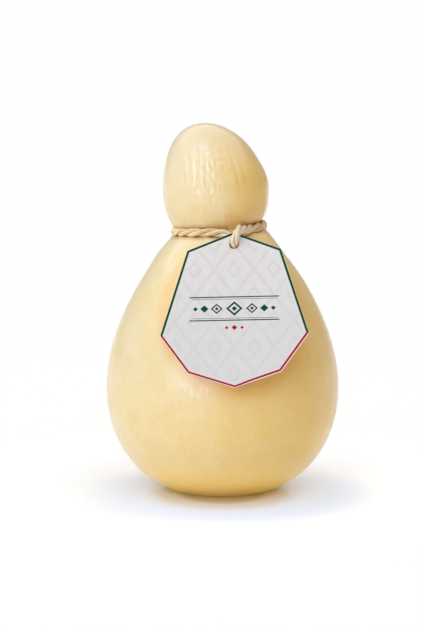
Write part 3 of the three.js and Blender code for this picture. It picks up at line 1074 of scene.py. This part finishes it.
def tag_outline(tag, round_by, inset):
    """The whole outline, counter-clockwise, its corners rounded and its edge drawn in."""
    right = tag_half(tag)
    corners = right[:0:-1] + right[:1] + [Vector((-p.x, p.y)) for p in right[1:-1]]
    points = []
    for i, corner in enumerate(corners):
        into = (corner - corners[i - 1]).normalized()
        away = (corners[(i + 1) % len(corners)] - corner).normalized()
        for step in (0.0, 0.25, 0.5, 0.75, 1.0):
            start, end = corner - into * round_by, corner + away * round_by
            point = start.lerp(corner, step).lerp(corner.lerp(end, step), step)
            way = into.lerp(away, step).normalized()
            points.append(point - Vector((way.y, -way.x)) * inset)
    return points


def card_rings(work, tag):
    """Rings of corners round the card and round its hole, from the front to the back."""
    half, soft = tag.thickness / 2, EDGE_SOFT
    levels = (
        (half, soft), (half - soft * 0.3, soft * 0.3), (half - soft, 0.0),
        (-half + soft, 0.0), (-half + soft * 0.3, soft * 0.3), (-half, soft),
    )
    outer, inner = [], []
    for z, inset in levels:
        edge = tag_outline(tag, CORNER_ROUND, inset)
        outer.append([work.verts.new((p.x, p.y, z)) for p in edge])
        radius = tag.hole_radius + inset
        turns = [2 * math.pi * i / HOLE_SIDES for i in range(HOLE_SIDES)]
        inner.append([
            work.verts.new((radius * math.cos(turn), radius * math.sin(turn), z))
            for turn in turns
        ])
    return outer, inner


def fill_card(work, rings, front):
    """Closes the front or the back between the outline and the hole."""
    rim = []
    for ring in rings:
        rim += [work.edges.get(pair) for pair in zip(ring, ring[1:] + ring[:1])]
    made = bmesh.ops.triangle_fill(work, edges=rim, use_beauty=True)
    for face in (f for f in made["geom"] if isinstance(f, bmesh.types.BMFace)):
        face.normal_update()
        if (face.normal.z > 0) != front:
            face.normal_flip()
        face.material_index = 0 if front else 1


def cut_card(tag, finishes):
    """A stiff card with softened edges and a punched hole, hung in its place."""
    work = bmesh.new()
    outer, inner = card_rings(work, tag)
    for rings, flipped in ((outer, False), (inner, True)):
        for upper, lower in zip(rings, rings[1:]):
            for i in range(len(upper)):
                j = (i + 1) % len(upper)
                loop = (upper[i], lower[i], lower[j], upper[j])
                work.faces.new(loop[::-1] if flipped else loop)
    fill_card(work, (outer[0], inner[0]), True)
    fill_card(work, (outer[-1], inner[-1]), False)
    chart = work.loops.layers.uv.new("print")
    for face in work.faces:
        face.normal_update()
        if abs(face.normal.z) < 0.99:
            face.material_index = 1
        for loop in face.loops:
            loop[chart].uv = loop.vert.co.xy / CARD_UV + CARD_MAP
    mesh = bpy.data.meshes.new("tag_card")
    work.to_mesh(mesh)
    work.free()
    for finish in finishes:
        mesh.materials.append(finish)
    turn = Matrix.Rotation(math.pi / 2 - TAG_LEAN, 4, "X") @ Matrix.Rotation(TAG_ROLL, 4, "Z")
    mesh.transform(Matrix.Translation(TAG_HOLE) @ Matrix.Rotation(TAG_YAW, 4, "Z") @ turn)
    piece = bpy.data.objects.new("tag_card", mesh)
    bpy.context.scene.collection.objects.link(piece)
    return piece


def edge_depth(x, y, start, end):
    """How far a place on the card lies inside the line from one corner to the next."""
    way = (end - start).normalized()
    inward = Vector((-way.y, way.x))
    return x * inward.x + y * inward.y - inward.dot(start)


def lozenge(net, x, y, half_width, half_height):
    """Below 1 inside a lozenge."""
    return net.size(x) / half_width + net.size(y) / half_height


def print_material(tag):
    """The front of the card: two-colour border, faint lattice, an ornament of lozenges."""
    net = SkinNet("tag_print", Roughness=0.75, Specular_IOR_Level=0.15)
    u, v, _ = net.split(net.put("ShaderNodeUVMap", uv_map="print"))
    x = (u - CARD_MAP.x) * CARD_UV
    y = (v - CARD_MAP.y) * CARD_UV
    corners = tag_half(tag)
    depths = [edge_depth(net.size(x), y, b, a) for a, b in zip(corners, corners[1:])]
    upper, lower = net.least(*depths[:2]), net.least(*depths[2:])
    depth = net.least(upper, lower)
    fibre = net.noise(net.place, 700.0, detail=3.0)
    cloud = net.noise(net.place, 170.0, detail=3.0, roughness=0.6)
    card = Vector(tag.card)
    colour = card
    for factor, tone in (
        (net.ease(fibre * 0.45 + cloud * 0.55, 0.36, 0.64) * 0.7, card * ROSY),
        (net.ease(y, -5 * MM, -70 * MM) * 0.6, card * LOWER_SHARE),
        (faint_lattice(net, x, y, depth) * 0.5, tag.faint),
        (ornament(net, x, y), tag.green),
        (drop_marks(net, x, y), tag.red),
    ):
        colour = net.blend(factor, colour, tone)
    below = net.below(lower, upper)
    bare = below * net.ease(x, 0.0, 12 * MM) * (0.4 * MM) + tag.margin
    line = net.below(depth - bare, tag.border - below * (0.25 * MM))
    ink = net.blend(below, tag.green, tag.red)
    net.set("Base Color", net.blend(line * net.below(bare, depth), colour, ink))
    net.bump((fibre * (0.02 * MM) + cloud * (0.03 * MM), 0.6))
    return net.material


def faint_lattice(net, x, y, depth):
    """Large thin lozenges side by side, with a small one at the middle of each."""
    wide, tall = LATTICE_SIZE
    to_lines = [
        net.size(net.math("FRACT", cell + 100.5) - 0.5)
        for cell in (x / wide + y / tall, x / wide - y / tall)
    ]
    lines = net.ease(net.least(*to_lines), 0.052, 0.044)
    far = net.most(*(net.size(to_line - 0.5) for to_line in to_lines))
    small = net.ease(far, 0.20, 0.19) - net.ease(far, 0.11, 0.10)
    return net.held(lines + small) * net.below(3.2 * MM, depth)


def ornament(net, x, y):
    """A band across the card: two rules and a row of lozenges that grow to the middle."""
    right, level = net.size(x), y + BAND_DROP
    mark = 0.0
    for away, half, reach in RULES:
        rule = net.below(net.size(net.size(level) - away * MM), half * MM)
        mark = net.most(mark, rule * net.below(right, reach * MM))
    for away, wide, tall, hollow in LOZENGES:
        form = lozenge(net, right - away * MM, level, wide * MM, tall * MM)
        solid = net.below(form, 1.0)
        if hollow:
            solid = net.most(solid * (1.0 - net.below(form, 0.66)), net.below(form, 0.34))
        mark = net.most(mark, solid)
    return mark


def drop_marks(net, x, y):
    """Three small marks under the band."""
    marks = [
        net.below(lozenge(net, net.size(x) - away * MM, y + DROPS_DROP, size * MM, size * MM), 1.0)
        for away, size in DROPS
    ]
    return net.most(*marks)


def card_material():
    """The plain back and the cut edges of the card."""
    net = SkinNet("tag_plain", Roughness=0.75, Specular_IOR_Level=0.3)
    fibre = net.noise(net.place, 900.0, detail=3.0)
    net.set("Base Color", net.blend(net.ease(fibre, 0.3, 0.7) * 0.5, *CARD_BACK))
    net.bump((fibre * (0.03 * MM), 0.6))
    return net.material


# ---------------------------------------------------------------- stage

LOOK_DOWN = math.radians(8)
CAMERA_AIM = Vector((-7.5, -0.6, 107.75)) * MM
CAMERA_AWAY = 1.5
SENSOR = 36.0
FLOOR_HALF = 60.0
FLOOR_SHADE = (0.66, 0.46, 0.20)  # painted contact shadow on the floor where the foot touches it

ALL, SKIN, ROPE, CARD = (), ("cheese_body",), ("cord_strands", "cord_hairs"), ("tag_card",)
# Far lamps, which are wide as seen from the cheese: setting with the strength, degrees
# right of the camera, up and across, colour and what they light.
LAMPS = (
    ("top", 0, 89, 120, (1.0, 1.0, 1.0), ALL),
    ("key", -30, 10, 46, (0.50, 0.62, 1.0), SKIN),
    ("side", -85, 30, 90, (0.19, 0.44, 0.95), SKIN),
    ("upper", -20, 60, 30, (0.17, 0.47, 1.0), SKIN),
    ("glint", -36, 32, 14, (0.5, 0.6, 1.0), SKIN),
    ("bounce", 0, -88, 60, (0.72, 1.0, 0.95), SKIN),
    ("trim", -50, 20, 60, (1.0, 1.0, 1.0), CARD),
    ("cord", -76, 25, 45, (1.0, 0.98, 0.94), ROPE),
)


def aim(place, target):
    """A turn that points the -Z axis of a camera or lamp at a target."""
    return (target - place).to_track_quat("-Z", "Y").to_euler()


def set_camera(stage):
    camera = bpy.data.cameras.new("camera")
    camera.lens = stage.lens
    camera.sensor_width = SENSOR
    camera.clip_start = 0.05
    camera.clip_end = 200
    seen = bpy.data.objects.new("camera", camera)
    back = Vector((0, -math.cos(LOOK_DOWN), math.sin(LOOK_DOWN)))
    seen.location = CAMERA_AIM + back * CAMERA_AWAY
    seen.rotation_euler = aim(seen.location, CAMERA_AIM)
    bpy.context.scene.collection.objects.link(seen)
    bpy.context.scene.camera = seen


def hang_lamp(name, power, bearing, height, spread, colour, lit_pieces):
    """A far lamp. One below the floor stands for the light that a pale table throws back."""
    lamp = bpy.data.lights.new(name, "SUN")
    lamp.energy = power
    lamp.color = colour
    lamp.angle = math.radians(spread)
    hung = bpy.data.objects.new(name, lamp)
    a, e = math.radians(bearing), math.radians(height)
    way = Vector((math.sin(a) * math.cos(e), -math.cos(a) * math.cos(e), math.sin(e)))
    hung.rotation_euler = (-way).to_track_quat("-Z", "Y").to_euler()
    bpy.context.scene.collection.objects.link(hung)
    if lit_pieces:
        lit = bpy.data.collections.new(name + "_lights")
        for piece in lit_pieces:
            lit.objects.link(bpy.data.objects[piece])
        hung.light_linking.receiver_collection = lit
        if height < 0:
            hung.light_linking.blocker_collection = lit


def set_world(stage):
    """White surroundings that show in gloss and give no other light."""
    world = bpy.data.worlds.new("surroundings")
    world.use_nodes = True
    background = world.node_tree.nodes["Background"]
    background.inputs["Color"].default_value = (1, 1, 1, 1)
    background.inputs["Strength"].default_value = stage.world
    rays = world.cycles_visibility
    rays.diffuse = rays.transmission = rays.scatter = False
    bpy.context.scene.world = world


def spot(net, x, y, right, back, outer, inner):
    """1 inside the inner radius round a place on the floor, 0 past the outer one, in mm."""
    away = net.reach(x - right * MM, y - back * MM)
    return net.ease(away, outer * MM, inner * MM)


def lay_floor(stage):
    """White paper that glows a little, as under several studio lamps, its glow shaped into painted
    light and shade round the cheese and left out at the foot, where a painted contact shadow
    darkens it.
    """
    net = SkinNet(
        "floor_paper", Roughness=0.9, Specular_IOR_Level=0.0, Emission_Strength=stage.glow,
    )
    x, y, _ = net.split(net.place)
    # Painted light and shade in the glow: brighter in a ring round the cheese and more so to the
    # front right, cooler near the foot and almost none under it.
    facing = net.ease(x - y, 20 * MM, 110 * MM)
    glow = (1.0, 1.0, 1.0)
    for factor, light in (
        (spot(net, x, y, 0, 0, 215, 150), (1.10, 1.20, 1.38)),
        (spot(net, x, y, 0, 0, 200, 120) * facing, (1.78, 1.73, 1.62)),
        (spot(net, x, y, 6, -25, 105, 65), (0.40, 0.80, 1.50)),
        (spot(net, x, y, 0, -30, 51, 33), (0.0, 0.0, 0.03)),
    ):
        glow = net.blend(factor, glow, light)
    net.set("Emission Color", glow)
    grain = net.ease(net.noise(net.place, 40.0, detail=3.0), 0.2, 0.8)
    tone = Vector(stage.floor)
    paper = net.blend(grain, tone, tone * 0.995)
    # Painted contact shadow where the foot touches the floor.
    contact_shadow = spot(net, x, y, 0, -30, 31, 20) * 0.6
    net.set("Base Color", net.blend(contact_shadow, paper, FLOOR_SHADE))
    half = FLOOR_HALF
    vertices = [(-half, -half, 0), (half, -half, 0), (half, half, 0), (-half, half, 0)]
    floor = mesh_object("floor", vertices, [], [(0, 1, 2, 3)])
    floor.data.materials.append(net.material)
    floor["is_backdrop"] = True


# ---------------------------------------------------------------- operators


class MouldCheese(bpy.types.Operator):
    """Mould the cheese: pear, neck, head, pleats and the groove under the cord"""
    bl_idname = "cheese.mould"
    bl_label = "Mould cheese"

    def execute(self, context):
        scene = context.scene
        path = cord_path(scene.cheese_form, scene.cord_form)
        blank = cheese_blank(scene.cheese_form)
        finish = skin_material(scene.cheese_skin)
        piece = shape_cheese(scene.cheese_form, path, finish).make(blank, "cheese_body")
        if len(piece.data.polygons) < AROUND:
            raise RuntimeError("the cheese came out empty")
        drop(blank)
        drop(path)
        settle(piece, "cheese")
        return {"FINISHED"}


class TieCord(bpy.types.Operator):
    """Tie the cord: twisted strands round the neck and their loose hairs"""
    bl_idname = "cheese.tie_cord"
    bl_label = "Tie cord"

    def execute(self, context):
        form, cord = context.scene.cheese_form, context.scene.cord_form
        path = cord_path(form, cord)
        rope = lay_strands(cord, fibre_material(cord, "cord_fibre")).make(path, "cord_strands")
        if not rope.data.polygons:
            raise RuntimeError("the cord came out empty")
        hairs = raise_hairs(cord, fibre_material(cord, "cord_hair", hair=True))
        fuzz = hairs.make(rope, "cord_hairs")
        drop(path)
        for piece in (rope, fuzz):
            settle(piece, "cord")
        return {"FINISHED"}


class HangTag(bpy.types.Operator):
    """Hang the tag: the card, its border and its ornament"""
    bl_idname = "cheese.hang_tag"
    bl_label = "Hang tag"

    def execute(self, context):
        tag = context.scene.tag_form
        piece = cut_card(tag, (print_material(tag), card_material()))
        settle(piece, "tag")
        return {"FINISHED"}


class SetStage(bpy.types.Operator):
    """Set the stage: floor, surroundings, lamps and camera"""
    bl_idname = "cheese.set_stage"
    bl_label = "Set stage"

    def execute(self, context):
        stage = context.scene.stage_set
        context.scene.view_settings.view_transform = "Standard"
        context.scene.view_settings.look = "None"
        set_camera(stage)
        set_world(stage)
        for name, *place, colour, lit_pieces in LAMPS:
            power = getattr(stage, name)
            hang_lamp(name + "_lamp", power, *place, colour, lit_pieces)
        lay_floor(stage)
        return {"FINISHED"}


class CheesePanel(bpy.types.Panel):
    """Sizes, colours and the steps that make the cheese"""
    bl_idname = "CHEESE_PT_steps"
    bl_label = "Corded cheese"
    bl_space_type = "VIEW_3D"
    bl_region_type = "UI"
    bl_category = "Cheese"

    def draw(self, context):
        for group, operator in STEPS:
            box = self.layout.box()
            for name in group:
                settings = getattr(context.scene, name)
                for key in settings.__annotations__:
                    box.prop(settings, key)
            box.operator(operator)


STEPS = (
    (("cheese_form", "cheese_skin"), "cheese.mould"),
    (("cord_form",), "cheese.tie_cord"),
    (("tag_form",), "cheese.hang_tag"),
    (("stage_set",), "cheese.set_stage"),
)
GROUPS = (
    ("cheese_form", CheeseForm), ("cheese_skin", CheeseSkin), ("cord_form", CordForm),
    ("tag_form", TagForm), ("stage_set", StageSet),
)
OPERATORS = (MouldCheese, TieCord, HangTag, SetStage)


def register():
    for name, group in GROUPS:
        bpy.utils.register_class(group)
        setattr(bpy.types.Scene, name, PointerProperty(type=group))
    for operator in OPERATORS:
        bpy.utils.register_class(operator)
    bpy.utils.register_class(CheesePanel)


def unregister():
    bpy.utils.unregister_class(CheesePanel)
    for operator in reversed(OPERATORS):
        bpy.utils.unregister_class(operator)
    for name, group in reversed(GROUPS):
        delattr(bpy.types.Scene, name)
        bpy.utils.unregister_class(group)


def main():
    register()
    bpy.ops.cheese.mould()
    bpy.ops.cheese.tie_cord()
    bpy.ops.cheese.hang_tag()
    bpy.ops.cheese.set_stage()
    boxes = {"cad": CAD_BOX, "visual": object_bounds()}
    plain = {key: [list(corner) for corner in box] for key, box in boxes.items()}


if __name__ == "__main__":
    main()
